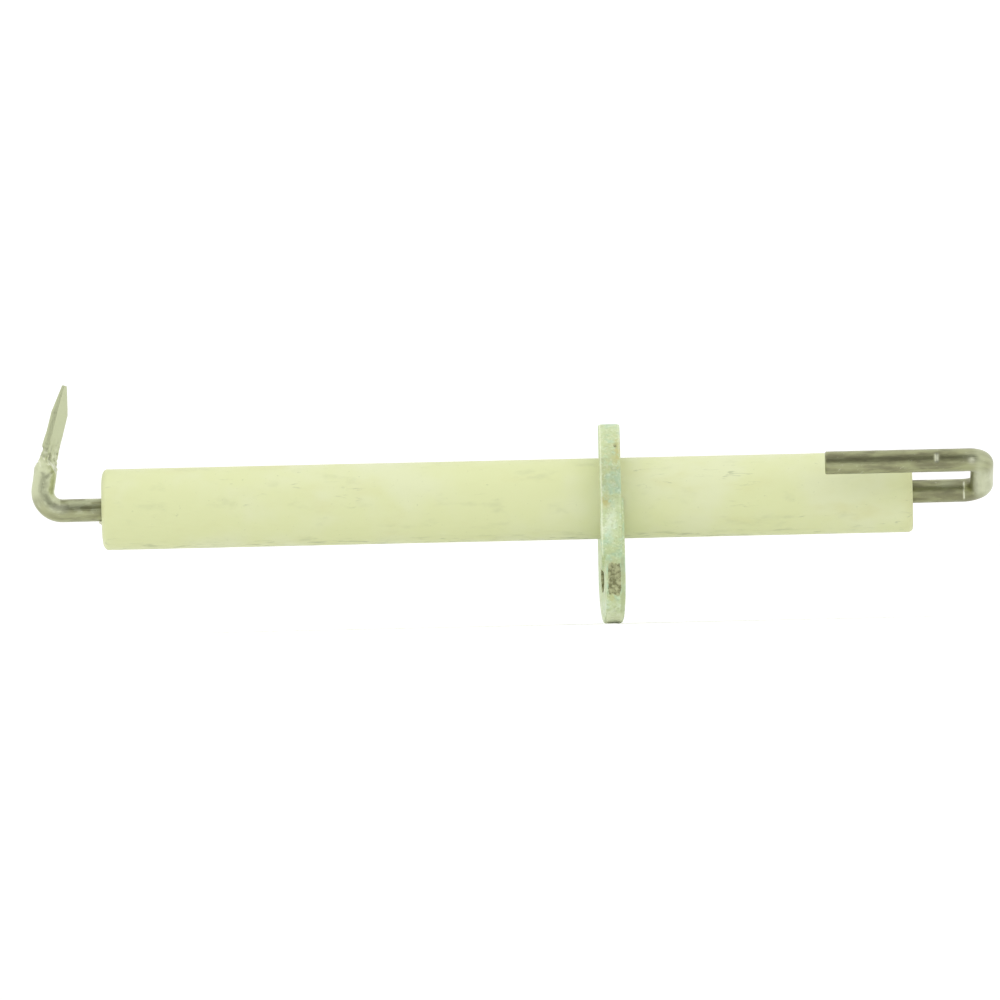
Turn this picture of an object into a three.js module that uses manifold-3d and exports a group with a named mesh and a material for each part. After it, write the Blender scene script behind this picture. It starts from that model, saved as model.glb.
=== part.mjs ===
// Burner ignition electrode: a heat-resistant wire cemented through a long ceramic tube,
// with a metal flange bonded round the tube.
// Millimetres, +Z up. X runs along the tube, from the spark tip (-X) to the terminal (+X).
// The origin is on the tube's axis, in the plane of the flange's seat.

import * as THREE from 'three';
import { mergeVertices } from 'three/addons/utils/BufferGeometryUtils.js';
import Module from 'manifold-3d';

const wasm = await Module();
wasm.setup();

// ---------------------------------------------------------------- driving sizes, mm

const tubeRadius = 7;
const tubeFrontLength = 86;        // from the flange's seat to the spark end of the tube
const tubeRearLength = 54;         // from the flange's seat to the terminal end
const tubeFrontEdgeDepth = 1.05;    // of the domed front edge, along the tube
const tubeFrontEdgeWidth = 2.2;     // and in from the outside
const tubeRearEdgeRadius = 0.85;

const wireRadius = 2;
const boreClearance = 0.15;        // all round the wire in the tube's bore
const pocketWall = 1.4;            // cement all round the wire in the pocket at each end
const pocketDepth = 5;
const cementSetback = 0.2;         // cement stops this far inside the tube's end
const bondGap = 0.05;              // kept between cement and what it sticks to

const tipReach = 10.1;             // from the tube's front end to the middle of the upright wire
const frontBendInside = 1.3;       // radius of the bend's inner side
const uprightLean = 9.7;           // degrees, towards the tube
const uprightLength = 2.9;          // straight wire between the front bend and the kink
const bladeKink = 5.3;             // degrees, a further lean where the blade starts
const kinkRadius = 12;
const bladeLength = 14.2;           // past the kink
const bladeThickness = 1.1;
const bladeWidth = 7.2;
const bladeTwist = 15;              // degrees about its own length
const pressLead = 1.2;              // the press marks start this far ahead of the blade
const pressedRamp = 2.6;            // length in which the round wire turns into the blade
const chiselLength = 4.9;
const chiselEdge = 0.45;            // thickness left at the very tip
const tipWidth = 1.5;               // and the width left there

const hookReach = 11.95;           // from the tube's rear end to the middle of the cross run
const hookSpread = 15.35;          // between the middles of the wire's two parallel runs
const hookTilt = 70;               // degrees from upright, towards -Y
const hookLowerBendInside = 1.6;   // radius of the inner side, next to the tube's bore
const hookUpperBendInside = 0.3;   // and next to the free end
const terminalOverlap = 15.1;      // the free end reaches this far back over the tube

const discRadius = 12.85;
const discThickness = 3.7;
const discBevel = 0.35;
const tongueThickness = 3.3;
const tongueHalfWidth = 8.1;
const tongueBevel = 0.35;
const tongueTwist = 5;             // degrees about the upright, out of the disc's plane
const screwHoleRadius = 2.65;
const screwHoleDrop = 13.5;        // below the tube's axis
const flangeCementWall = 0.45;

const roundSides = 64;
const wireSides = 24;
const smallSides = 48;

// ---------------------------------------------------------------- sizes that follow

const boreRadius = wireRadius + boreClearance;
const pocketRadius = wireRadius + bondGap + pocketWall + bondGap;
const flangeBoreRadius = tubeRadius + bondGap + flangeCementWall + bondGap;
const discMiddle = discThickness / 2;
const pressLength = pressLead + bladeLength;
const frontBendRadius = wireRadius + frontBendInside;
const hookLowerBendRadius = wireRadius + hookLowerBendInside;
const hookUpperBendRadius = wireRadius + hookUpperBendInside;

const degrees = THREE.MathUtils.degToRad;

// ---------------------------------------------------------------- materials

function finish(color, roughness, metalness) {
  return new THREE.MeshStandardMaterial({ color, roughness, metalness });
}

const ceramicFinish = finish(0xe2e3bd, 0.5, 0);
const wireFinish = finish(0x76765a, 0.38, 1);
const flangeFinish = finish(0xbfc9ad, 0.5, 0.9);
const cementFinish = finish(0xd9d3c0, 0.9, 0);

// ---------------------------------------------------------------- helpers

// A mesh turned so that its lathe axis, local +Y, runs along +X.
function namedLatheAlongX(name, outline, sides, material) {
  const mesh = new THREE.Mesh(new THREE.LatheGeometry(outline, sides), material);
  mesh.name = name;
  mesh.rotation.z = -Math.PI / 2;
  return mesh;
}

// The outline of a plain ring: radius against place along the axis, closed on itself.
function ringOutline(innerRadius, outerRadius, start, end) {
  return [
    new THREE.Vector2(innerRadius, start),
    new THREE.Vector2(outerRadius, start),
    new THREE.Vector2(outerRadius, end),
    new THREE.Vector2(innerRadius, end),
    new THREE.Vector2(innerRadius, start),
  ];
}

function toSolid(geometry) {
  const bare = geometry.index ? geometry.toNonIndexed() : geometry.clone();
  bare.deleteAttribute('normal');
  bare.deleteAttribute('uv');
  const merged = mergeVertices(bare, 1e-4);
  return new wasm.Manifold(new wasm.Mesh({
    numProp: 3,
    vertProperties: merged.attributes.position.array,
    triVerts: new Uint32Array(merged.index.array),
  }));
}

function toGeometry(solid) {
  const mesh = solid.getMesh();
  const geometry = new THREE.BufferGeometry();
  geometry.setAttribute('position', new THREE.BufferAttribute(mesh.vertProperties, 3));
  geometry.setIndex(new THREE.BufferAttribute(mesh.triVerts, 1));
  geometry.computeVertexNormals();
  return geometry;
}

// ---------------------------------------------------------------- ceramic tube

function ceramicInsulator() {
  const front = -tubeFrontLength;
  const rear = tubeRearLength;
  const outline = new THREE.Path();
  outline.moveTo(boreRadius, front + pocketDepth);
  outline.lineTo(pocketRadius, front + pocketDepth);
  outline.lineTo(pocketRadius, front);
  outline.lineTo(tubeRadius - tubeFrontEdgeWidth, front);
  outline.absellipse(tubeRadius - tubeFrontEdgeWidth, front + tubeFrontEdgeDepth,
    tubeFrontEdgeWidth, tubeFrontEdgeDepth, -Math.PI / 2, 0, false);
  outline.lineTo(tubeRadius, rear - tubeRearEdgeRadius);
  outline.absarc(tubeRadius - tubeRearEdgeRadius, rear - tubeRearEdgeRadius,
    tubeRearEdgeRadius, 0, Math.PI / 2, false);
  outline.lineTo(pocketRadius, rear);
  outline.lineTo(pocketRadius, rear - pocketDepth);
  outline.lineTo(boreRadius, rear - pocketDepth);
  outline.lineTo(boreRadius, front + pocketDepth);
  return namedLatheAlongX('ceramic_insulator', outline.getPoints(3), roundSides, ceramicFinish);
}

// ---------------------------------------------------------------- cement

// The plug that holds the wire in the pocket at one end of the tube. It is made from its
// inner end outwards, and `towards` is -1 at the spark end and +1 at the terminal end.
function pocketCement(name, tubeEnd, towards) {
  const inner = tubeEnd - towards * (pocketDepth - bondGap);
  const outer = tubeEnd - towards * cementSetback;
  const outline = ringOutline(wireRadius + bondGap, pocketRadius - bondGap,
    Math.min(inner, outer), Math.max(inner, outer));
  return namedLatheAlongX(name, outline, smallSides, cementFinish);
}

// The thin ring of cement between the tube and the flange's bore.
function flangeCement() {
  const outline = ringOutline(tubeRadius + bondGap, flangeBoreRadius - bondGap,
    0, discThickness);
  return namedLatheAlongX('flange_cement', outline, roundSides, cementFinish);
}

// ---------------------------------------------------------------- wire

// An arc that starts at `start` along `direction` and turns about `axis`.
class Arc extends THREE.Curve {
  constructor(start, direction, axis, radius, angle) {
    super();
    this.axis = axis.clone();
    this.angle = angle;
    this.centre = axis.clone().cross(direction).multiplyScalar(radius).add(start);
    this.spoke = start.clone().sub(this.centre);
  }

  getPoint(t, target = new THREE.Vector3()) {
    return target.copy(this.spoke).applyAxisAngle(this.axis, t * this.angle).add(this.centre);
  }
}

// A centre line walked out as straights and bends. Each piece is cut into its own number
// of steps, so a long straight takes few and a tight bend takes many.
class WalkedLine extends THREE.Curve {
  constructor(start, direction) {
    super();
    this.at = start.clone();
    this.direction = direction.clone().normalize();
    this.pieces = [];
    this.steps = 0;
  }

  addPiece(curve, steps) {
    this.pieces.push({ curve, steps, from: this.steps });
    this.steps += steps;
    this.at = curve.getPoint(1);
  }

  straight(length, steps = 1) {
    const end = this.at.clone().addScaledVector(this.direction, length);
    this.addPiece(new THREE.LineCurve3(this.at.clone(), end), steps);
  }

  bend(axis, radius, angle, steps) {
    this.addPiece(new Arc(this.at, this.direction, axis, radius, angle), steps);
    this.direction.applyAxisAngle(axis, angle);
  }

  getPoint(t, target = new THREE.Vector3()) {
    const step = t * this.steps;
    const piece = this.pieces.findLast((candidate) => candidate.from <= step) ?? this.pieces[0];
    const along = Math.min((step - piece.from) / piece.steps, 1);
    return target.copy(piece.curve.getPoint(along));
  }

  // The steps follow the pieces and not the length.
  getUtoTmapping(u) {
    return u;
  }
}

// Presses the last stretch of the wire into a flat blade with a chisel tip. Places are
// measured from where the press starts: along the blade, through its thickness (the
// positive side faces the tube) and across its width. The chisel narrows both ways.
function pressBlade(geometry, start, along) {
  const twist = new THREE.Matrix4().makeRotationAxis(along, degrees(-bladeTwist));
  const across = new THREE.Vector3(0, 1, 0).transformDirection(twist);
  const through = new THREE.Vector3().crossVectors(across, along).normalize();
  const position = geometry.attributes.position;
  const point = new THREE.Vector3();
  for (let i = 0; i < position.count; i += 1) {
    point.fromBufferAttribute(position, i).sub(start);
    const reach = point.dot(along);
    if (reach > 0 && point.length() < 2 * pressLength) {
      const pressed = THREE.MathUtils.smoothstep(reach, 0, pressedRamp);
      const chisel = Math.max(0, reach - pressLength + chiselLength) / chiselLength;
      const half = THREE.MathUtils.lerp(wireRadius, bladeThickness / 2, pressed);
      const tubeSide = half - chisel * (bladeThickness - chiselEdge);
      const thick = THREE.MathUtils.clamp(point.dot(through), -half, tubeSide);
      const widest = THREE.MathUtils.lerp(1, bladeWidth / (2 * wireRadius), pressed);
      const wide = point.dot(across)
        * widest * THREE.MathUtils.lerp(1, tipWidth / bladeWidth, chisel);
      point.copy(start)
        .addScaledVector(along, reach)
        .addScaledVector(through, thick)
        .addScaledVector(across, wide);
      position.setXYZ(i, point.x, point.y, point.z);
    }
  }
}

function electrodeWire() {
  const tilt = degrees(hookTilt);
  const lean = degrees(uprightLean);
  const alongTube = new THREE.Vector3(1, 0, 0);
  const crossRun = new THREE.Vector3(0, Math.sin(tilt), -Math.cos(tilt));
  const hookAxis = new THREE.Vector3().crossVectors(alongTube, crossRun);
  const bendAxis = new THREE.Vector3(0, 1, 0);

  const crossRunX = tubeRearLength + hookReach;
  const freeEnd = crossRun.clone().multiplyScalar(-hookSpread);
  freeEnd.x = tubeRearLength - terminalOverlap;

  // The front bend turns past upright, so its start is set by where the upright passes
  // the height of the bend's centre.
  const uprightX = -tubeFrontLength - tipReach;
  const frontBendX = uprightX + frontBendRadius;

  const line = new WalkedLine(freeEnd, alongTube);
  line.straight(crossRunX - hookUpperBendRadius - freeEnd.x, 2);
  line.bend(hookAxis, hookUpperBendRadius, Math.PI / 2, 12);
  line.straight(hookSpread - hookUpperBendRadius - hookLowerBendRadius);
  line.bend(hookAxis, hookLowerBendRadius, Math.PI / 2, 12);
  line.straight(crossRunX - hookLowerBendRadius - frontBendX, 4);
  line.bend(bendAxis, frontBendRadius, Math.PI / 2 + lean, 14);
  line.straight(uprightLength);
  line.bend(bendAxis, kinkRadius, degrees(bladeKink), 2);
  const bladeDirection = line.direction.clone();
  const pressStart = line.at.clone().addScaledVector(bladeDirection, -pressLead);
  line.straight(bladeLength, 20);

  const section = new THREE.Shape();
  section.absarc(0, 0, wireRadius, 0, 2 * Math.PI, false);
  const geometry = new THREE.ExtrudeGeometry(section, {
    extrudePath: line,
    steps: line.steps,
    curveSegments: wireSides / 2,
    bevelEnabled: false,
  });
  pressBlade(geometry, pressStart, bladeDirection);

  const mesh = new THREE.Mesh(geometry, wireFinish);
  mesh.name = 'electrode_wire';
  return mesh;
}

// ---------------------------------------------------------------- flange

// Each part of the flange is made in its own place: local X runs across the flange, local Y
// up it and local Z through it, from the seat at zero.

// A flat outline given thickness, with its faces bevelled, in the middle of the disc.
function bevelledPlate(outline, thickness, bevel, arcSegments) {
  const geometry = new THREE.ExtrudeGeometry(outline, {
    depth: thickness - 2 * bevel,
    curveSegments: arcSegments,
    bevelThickness: bevel,
    bevelSize: bevel,
    bevelSegments: 1,
  });
  geometry.translate(0, 0, bevel - thickness / 2);
  return geometry;
}

function flangeDisc() {
  const outline = new THREE.Shape();
  outline.absarc(0, 0, discRadius - discBevel, 0, 2 * Math.PI, false);
  const geometry = bevelledPlate(outline, discThickness, discBevel, roundSides / 2);
  geometry.translate(0, 0, discMiddle);
  return toSolid(geometry);
}

// The round-ended tongue that carries the screw hole, twisted out of the disc's plane.
function flangeTongue() {
  const halfWidth = tongueHalfWidth - tongueBevel;
  const outline = new THREE.Shape();
  outline.moveTo(-halfWidth, 0);
  outline.absarc(0, -screwHoleDrop, halfWidth, Math.PI, 2 * Math.PI, false);
  outline.lineTo(halfWidth, 0);
  const geometry = bevelledPlate(outline, tongueThickness, tongueBevel, roundSides / 2);
  return toSolid(placeOnTongue(geometry));
}

function placeOnTongue(geometry) {
  return geometry.rotateY(degrees(tongueTwist)).translate(0, 0, discMiddle);
}

// A round post along local Z, long enough to cut right through the flange.
function post(radius, sides) {
  const length = 4 * (discThickness + tongueThickness);
  return new THREE.CylinderGeometry(radius, radius, length, sides).rotateX(Math.PI / 2);
}

function mountingFlange() {
  const screwHole = post(screwHoleRadius, smallSides).translate(0, -screwHoleDrop, 0);
  const solid = flangeDisc()
    .add(flangeTongue())
    .subtract(toSolid(post(flangeBoreRadius, roundSides)))
    .subtract(toSolid(placeOnTongue(screwHole)));
  const mesh = new THREE.Mesh(toGeometry(solid), flangeFinish);
  mesh.name = 'mounting_flange';
  mesh.rotation.set(Math.PI / 2, Math.PI / 2, 0);
  return mesh;
}

// ---------------------------------------------------------------- assembly

const electrode = new THREE.Group();
electrode.add(ceramicInsulator());
electrode.add(electrodeWire());
electrode.add(pocketCement('front_cement', -tubeFrontLength, -1));
electrode.add(pocketCement('rear_cement', tubeRearLength, 1));
electrode.add(mountingFlange());
electrode.add(flangeCement());

export default electrode;
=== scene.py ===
"""An ignition electrode for a boiler's burner: a ceramic tube with a spark wire through it,
cemented into a zinc-plated steel flange. Sizes are in metres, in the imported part's frame:
the tube runs along X, its spark end towards -X, and the flange's screw tongue hangs down."""

import math
from typing import NamedTuple

import bmesh
import bpy
import numpy as np
from bpy.props import FloatProperty, FloatVectorProperty, IntProperty, PointerProperty
from mathutils import Matrix, Vector, noise


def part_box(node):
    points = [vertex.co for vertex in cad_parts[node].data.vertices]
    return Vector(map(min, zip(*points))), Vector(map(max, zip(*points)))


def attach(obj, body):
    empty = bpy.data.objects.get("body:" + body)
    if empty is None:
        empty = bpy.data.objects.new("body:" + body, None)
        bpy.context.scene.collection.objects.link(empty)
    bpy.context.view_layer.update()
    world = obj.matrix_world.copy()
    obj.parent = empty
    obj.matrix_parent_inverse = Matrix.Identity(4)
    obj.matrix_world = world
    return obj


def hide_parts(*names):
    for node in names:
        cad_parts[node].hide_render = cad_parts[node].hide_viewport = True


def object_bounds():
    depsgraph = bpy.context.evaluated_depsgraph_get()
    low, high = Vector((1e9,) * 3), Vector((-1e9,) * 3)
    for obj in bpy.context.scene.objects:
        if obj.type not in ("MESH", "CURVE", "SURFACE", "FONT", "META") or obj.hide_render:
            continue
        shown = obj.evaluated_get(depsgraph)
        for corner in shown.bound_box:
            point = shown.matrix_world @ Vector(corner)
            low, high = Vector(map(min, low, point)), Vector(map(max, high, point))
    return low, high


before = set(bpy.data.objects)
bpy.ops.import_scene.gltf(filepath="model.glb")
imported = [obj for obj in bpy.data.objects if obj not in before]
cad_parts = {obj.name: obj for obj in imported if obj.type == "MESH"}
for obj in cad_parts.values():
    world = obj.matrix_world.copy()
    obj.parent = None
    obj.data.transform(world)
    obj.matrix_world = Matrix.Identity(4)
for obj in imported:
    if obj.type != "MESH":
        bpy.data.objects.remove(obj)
cad_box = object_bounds()

bl_info = {
    "name": "Ignition electrode",
    "version": (1, 0, 0),
    "blender": (4, 5, 0),
    "location": "View3D > Sidebar > Electrode",
    "description": "Models a burner's ignition electrode, piece by piece",
    "category": "Add Mesh",
}

MM = 0.001

# Places closer than TOUCH count as one, and bonded pieces stand BOND_GAP apart.
TOUCH = 1e-5
BOND_GAP = 0.05 * MM

# Faces that meet at less than this angle are shaded as one smooth surface.
SMOOTH_ANGLE = math.radians(38)

# How many sides each round shape starts with.
TUBE_SIDES = 128
WIRE_SIDES = 48
DISC_SIDES = 192
TONGUE_SIDES = 128
SCREW_HOLE_SIDES = 96
PLUG_SIDES = 96
BOND_SIDES = 144

tube_low, tube_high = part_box("ceramic_insulator")
disc_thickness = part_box("flange_cement")[1].x


def position(name, description, default, **limits):
    return FloatProperty(name=name, description=description, default=default,
                         precision=5, unit="LENGTH", **limits)


def dimension(name, description, default):
    return position(name, description, default, min=0)


def tilt(name, description, degrees):
    return FloatProperty(name=name, description=description, default=math.radians(degrees),
                         unit="ROTATION", subtype="ANGLE")


def tint(name, description, default):
    return FloatVectorProperty(name=name, description=description, default=default,
                               size=3, min=0, max=1, subtype="COLOR")


# ---- sizes and colours


class TubeSizes(bpy.types.PropertyGroup):
    front_end: position("Front end", "Where the spark end stands", tube_low.x)
    rear_end: position("Rear end", "Where the terminal end stands", tube_high.x)
    radius: dimension("Radius", "Outside of the tube", tube_high.z)
    dome_depth: dimension("Dome depth", "Front edge, along the tube", 1.05 * MM)
    dome_width: dimension("Dome width", "Front edge, in from outside", 2.2 * MM)
    rear_edge: dimension("Rear edge", "Rounding at the terminal end", 0.85 * MM)
    bore_radius: dimension("Bore", "Radius of the hole for the wire", 2.15 * MM)
    pocket_radius: dimension("Pocket", "Radius of the cement pockets", 3.5 * MM)
    pocket_depth: dimension("Pocket depth", "Depth of the cement pockets", 5 * MM)
    body_colour: tint("Body", "Fired ceramic", (0.625, 0.660, 0.365))
    aged_colour: tint("Aged", "Where heat has yellowed it", (0.590, 0.595, 0.300))
    pale_colour: tint("Pale", "Clean patches", (0.640, 0.672, 0.420))
    scuff_colour: tint("Scuffs", "Grey rubbed marks", (0.290, 0.330, 0.200))


class WireSizes(bpy.types.PropertyGroup):
    radius: dimension("Radius", "Half the wire's diameter", 2 * MM)
    free_end: position("Free end", "Where the terminal's free end stands", 38.9 * MM)
    cross_run: position("Cross run", "Middle of the hook's cross run", 65.95 * MM)
    hook_spread: dimension("Spread", "Between the two long runs", 15.35 * MM)
    hook_tilt: tilt("Tilt", "Hook's tilt from upright, towards the front", 70)
    upper_bend: dimension("Upper bend", "At the free end's side", 2.3 * MM)
    lower_bend: dimension("Lower bend", "At the tube's side", 3.6 * MM)
    upright: position("Upright", "Middle of the wire where it turns up", -96.1 * MM)
    front_bend: dimension("Front bend", "Radius of its middle line", 3.3 * MM)
    lean: tilt("Lean", "Of the upright, towards the tube", 9.7)
    upright_length: dimension("Upright length", "From the bend to the kink", 2.9 * MM)
    kink_radius: dimension("Kink radius", "Where the blade starts", 12 * MM)
    kink: tilt("Kink", "Further lean where the blade starts", 5.3)
    blade_length: dimension("Blade", "Past the kink", 14.2 * MM)
    blade_thickness: dimension("Blade thickness", "Between its faces", 1.1 * MM)
    blade_width: dimension("Blade width", "Across its faces", 7.2 * MM)
    blade_twist: tilt("Blade twist", "About its own length", 15)
    press_lead: dimension("Press lead", "Press marks ahead of the blade", 1.2 * MM)
    press_ramp: dimension("Press ramp", "Where round turns into flat", 2.6 * MM)
    chisel_length: dimension("Chisel", "Length of the bevelled tip", 4.9 * MM)
    chisel_edge: dimension("Chisel edge", "Thickness left at the tip", 0.45 * MM)
    tip_width: dimension("Tip width", "Width left at the tip", 1.5 * MM)
    metal_colour: tint("Metal", "Heat-resisting steel", (0.350, 0.362, 0.202))
    # Also paints the shade under the hook.
    oxide_and_shade_colour: tint("Oxide", "Darker skin", (0.215, 0.212, 0.126))
    burnished_colour: tint("Burnished", "Rubbed metal", (0.500, 0.540, 0.350))
    # Also paints the highlights on the hook and the front bend.
    rubbed_and_lit_colour: tint("Rubbed", "Bent and handled metal", (0.580, 0.615, 0.410))
    # Also paints a highlight on the front bend.
    fresh_and_highlight_colour: tint("Fresh", "Bare metal in a nick", (0.780, 0.800, 0.620))


class FlangeSizes(bpy.types.PropertyGroup):
    disc_radius: dimension("Disc", "Outside of the disc", 12.85 * MM)
    disc_thickness: dimension("Disc thickness", "Through the disc", disc_thickness)
    bore_radius: dimension("Bore", "Hole for the tube and its cement", 7.55 * MM)
    tongue_half: dimension("Tongue", "Half the tongue's width", 8.1 * MM)
    tongue_thickness: dimension("Tongue thickness", "Through the tongue", 3.3 * MM)
    tongue_twist: tilt("Twist", "Tongue's turn about the upright", 5)
    hole_radius: dimension("Screw hole", "Radius of the screw hole", 2.65 * MM)
    hole_drop: dimension("Hole drop", "Screw hole below the tube's axis", 13.5 * MM)
    edge: dimension("Edge", "Rolled-over edges", 0.35 * MM)
    zinc_colour: tint("Zinc", "Passivated plating", (0.555, 0.645, 0.370))
    blue_colour: tint("Blue sheen", "Thicker passivation", (0.480, 0.640, 0.440))
    olive_colour: tint("Olive sheen", "Thin passivation", (0.515, 0.565, 0.290))
    # Paints glints on single crystals and the sheen.
    painted_glint_colour: tint("Glints", "Crystals that catch light", (0.86, 0.92, 0.78))
    # Paints the highlights on the disc's corners and the tongue's end.
    edge_highlight_colour: tint("Rolled edge", "Bright corner of the disc", (0.90, 0.94, 0.72))
    burnished_colour: tint("Burnished", "Smooth sheared strip", (0.46, 0.53, 0.30))
    # These two also paint the shade in the screw hole.
    rust_and_shade_colour: tint("Rust", "Where the plating has gone", (0.180, 0.185, 0.085))
    crust_and_shade_colour: tint("Crust", "Lighter scale in the rust", (0.480, 0.500, 0.285))
    stain_colour: tint("Stain", "Orange bloom", (0.530, 0.515, 0.225))


class CementSizes(bpy.types.PropertyGroup):
    setback: dimension("Setback", "Inside the tube's ends", 0.2 * MM)
    bead_height: dimension("Bead", "Squeezed out below the wire", 0.65 * MM)
    bead_width: dimension("Bead width", "Across the bead", 0.48 * MM)
    body_colour: tint("Cement", "Dry refractory cement", (0.73, 0.74, 0.54))
    dark_colour: tint("Pores", "Dirt in the pores", (0.40, 0.40, 0.27))


class StageSettings(bpy.types.PropertyGroup):
    distance: dimension("Distance", "From the camera to the tube's axis", 5.0)
    view_width: dimension("View", "Width that the camera sees there", 172.71 * MM)
    aim_x: position("Aim along", "Middle of the view", -17.2 * MM)
    aim_z: position("Aim up", "Middle of the view", 0.15 * MM)
    roll: tilt("Roll", "Of the camera", 1.3)
    card_reach: dimension("Card", "From the dark card to the axis", 0.5)
    card_width: dimension("Card width", "Of the dark card", 0.62)
    card_height: dimension("Card height", "Of the dark card", 1.3)
    card_middle: position("Card middle", "Height of the dark card's middle", 0.26)
    card_colour: tint("Card colour", "Matt dark card", (0.26, 0.26, 0.24))
    floor_gap: dimension("Floor gap", "Between the tongue and the floor", 0.05 * MM)
    floor_colour: tint("Floor", "Matt white board", (0.95, 0.95, 0.95))
    seed: IntProperty(name="Seed", description="Of every random draw", default=7, min=0)


class ElectrodeSettings(bpy.types.PropertyGroup):
    tube: PointerProperty(type=TubeSizes)
    wire: PointerProperty(type=WireSizes)
    flange: PointerProperty(type=FlangeSizes)
    cement: PointerProperty(type=CementSizes)
    stage: PointerProperty(type=StageSettings)


# ---- modelling by hand


def select_only(piece):
    bpy.ops.object.select_all(action="DESELECT")
    piece.select_set(True)
    bpy.context.view_layer.objects.active = piece


def settle(piece):
    """Moves a piece's place and turn into its mesh."""
    select_only(piece)
    bpy.ops.object.transform_apply(location=True, rotation=True, scale=True)


def start_piece(name, add_primitive, **sizes):
    """Adds a primitive on its own and names it, its place moved into its mesh."""
    bpy.ops.object.select_all(action="DESELECT")
    add_primitive(**sizes)
    piece = bpy.context.object
    piece.name = name
    piece.data.name = name
    settle(piece)
    return piece


def rod_along_x(name, radius, start, end, sides):
    middle = Vector(((start + end) / 2, 0, 0))
    return start_piece(name, bpy.ops.mesh.primitive_cylinder_add, vertices=sides,
                       radius=radius, depth=end - start, location=middle,
                       rotation=(0, math.pi / 2, 0))


def edit(piece):
    bpy.context.view_layer.objects.active = piece
    bpy.ops.object.mode_set(mode="EDIT")


def leave_edit():
    bpy.ops.object.mode_set(mode="OBJECT")


def pick(piece, kind, wanted):
    """Selects the vertices, edges or faces that `wanted` says yes to."""
    bpy.ops.mesh.select_mode(type=kind)
    bpy.ops.mesh.select_all(action="DESELECT")
    mesh = bmesh.from_edit_mesh(piece.data)
    parts = {"VERT": mesh.verts, "EDGE": mesh.edges, "FACE": mesh.faces}[kind]
    for part in parts:
        if wanted(part):
            part.select_set(True)
    bmesh.update_edit_mesh(piece.data)


def across_x(point):
    """How far a point is from the X axis."""
    return math.hypot(point.y, point.z)


def is_many_sided(face):
    return len(face.verts) > 4


def is_cap_at(x):
    return lambda face: is_many_sided(face) and abs(face.verts[0].co.x - x) < TOUCH


def is_rim_at(x, radius):
    """An edge of the ring of that radius in the plane at x."""
    def wanted(rim_edge):
        return all(abs(v.co.x - x) < TOUCH and abs(across_x(v.co) - radius) < 5 * TOUCH
                   for v in rim_edge.verts)
    return wanted


def is_long_edge(least, low, high):
    """An edge along X that is longer than `least` and lies between two radii."""
    def wanted(long_edge):
        one_end, other_end = (v.co for v in long_edge.verts)
        return (abs(one_end.x - other_end.x) > least
                and low < across_x(one_end) < high and low < across_x(other_end) < high)
    return wanted


def round_rim(piece, x, radius, rounding, segments):
    pick(piece, "EDGE", is_rim_at(x, radius))
    bpy.ops.mesh.bevel(offset=rounding, segments=segments, affect="EDGES")


def inset_rings(count, width):
    """Insets the selected faces, in steps of the same width."""
    for _ in range(count):
        bpy.ops.mesh.inset(thickness=width / count)


def cut_lengthwise(piece, wanted, cuts):
    pick(piece, "EDGE", wanted)
    bpy.ops.mesh.subdivide(number_cuts=cuts)


def apply_modifier(piece, kind, **settings):
    select_only(piece)
    modifier = piece.modifiers.new(kind.lower(), kind)
    for name, value in settings.items():
        setattr(modifier, name, value)
    bpy.ops.object.modifier_apply(modifier=modifier.name)


def combine(piece, tool, operation):
    """Joins or cuts the piece with a tool piece, which is then removed."""
    apply_modifier(piece, "BOOLEAN", operation=operation, object=tool, solver="EXACT")
    bpy.data.objects.remove(tool)


def vectors_in(rows, field):
    values = np.empty(len(rows) * 3)
    rows.foreach_get(field, values)
    return values.reshape(-1, 3)


def points_of(piece):
    return vectors_in(piece.data.vertices, "co")


def normals_of(piece):
    return vectors_in(piece.data.vertex_normals, "vector")


def move_points(piece, points):
    piece.data.vertices.foreach_set("co", points.ravel())
    piece.data.update()


def roughness_at(points, size, octaves=3):
    """Smooth random values near -1 to 1, whose lumps are about `size` across."""
    return np.array([noise.fractal(Vector(p) / size, 1.0, 2.0, octaves) for p in points])


def bell(distance, width):
    return np.exp(-(distance / width) ** 2)


class Spot(NamedTuple):
    """A soft-edged mark, seen from the side. Its middle and its reach are in millimetres."""
    x: float
    z: float
    length: float
    height: float
    strength: float = 1

    def on(self, x, z):
        along = (x - self.x * MM) / (self.length * MM)
        up = (z - self.z * MM) / (self.height * MM)
        return bell(np.hypot(along, up), 1) * self.strength


def spots_on(x, z, spots):
    return sum(spot.on(x, z) for spot in spots)


def ramp(value, start, end):
    """Goes smoothly from 0 at `start` to 1 at `end`, which may be the lower one."""
    t = np.clip((value - start) / (end - start), 0, 1)
    return t * t * (3 - 2 * t)


def save_attribute(piece, name, values):
    kind, field = ("FLOAT", "value") if values.ndim == 1 else ("FLOAT_VECTOR", "vector")
    attribute = piece.data.attributes.new(name, kind, "POINT")
    attribute.data.foreach_set(field, values.astype(np.float32).ravel())


def finish_piece(piece, node, material):
    """Shades a finished mesh and puts it in its CAD node's place."""
    select_only(piece)
    bpy.ops.object.shade_smooth_by_angle(angle=SMOOTH_ANGLE)
    piece.data.materials.clear()
    piece.data.materials.append(material)
    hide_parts(node)
    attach(piece, "root")


# ---- material nodes


def opaque(colour):
    """A colour with its alpha added, or a socket as it is."""
    return colour if isinstance(colour, bpy.types.NodeSocket) else (*colour, 1)


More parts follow.
